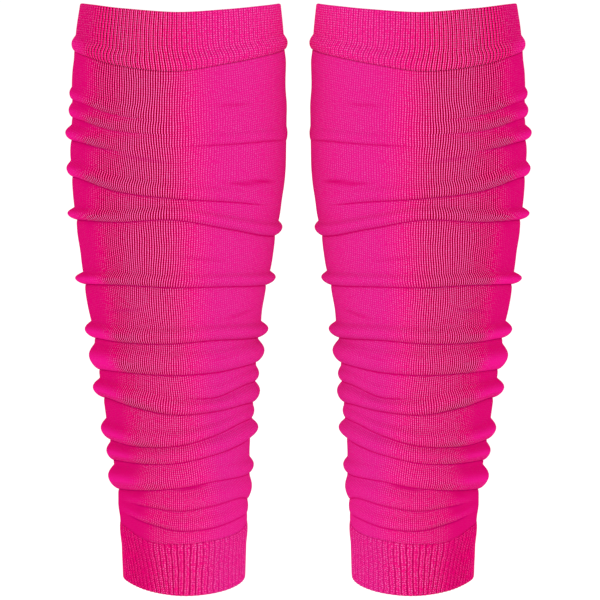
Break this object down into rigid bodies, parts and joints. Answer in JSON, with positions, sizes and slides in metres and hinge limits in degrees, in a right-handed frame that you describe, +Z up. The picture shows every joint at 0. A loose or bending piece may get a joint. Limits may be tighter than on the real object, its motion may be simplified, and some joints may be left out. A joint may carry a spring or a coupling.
{
  "type": "pair of calf compression sleeves",
  "caption": "Mirrored pair of footless knitted leg sleeves, open at knee and ankle, with a ribbed cuff at each end and soft gathered folds down the calf.",
  "frame": {"origin": "midway between the two sleeves, level with the middles of their top cuffs, where the leg holds them up", "axes": "+X across the pair to the right as seen from the front, +Y from the shin side to the calf side, +Z up along the leg"},
  "size_m": [0.2596, 0.1301, 0.3242],
  "materials": {
    "rib_knit": "hot pink rib knit, matt, with deep grooves",
    "plain_knit": "hot pink fine plain knit, matt, with a slight sheen"
  },
  "bodies": {
    "root": {"left_top_cuff": "rib_knit", "left_leg_tube": "plain_knit", "left_bottom_cuff": "rib_knit", "right_top_cuff": "rib_knit", "right_leg_tube": "plain_knit", "right_bottom_cuff": "rib_knit"}
  },
  "joints": []
}
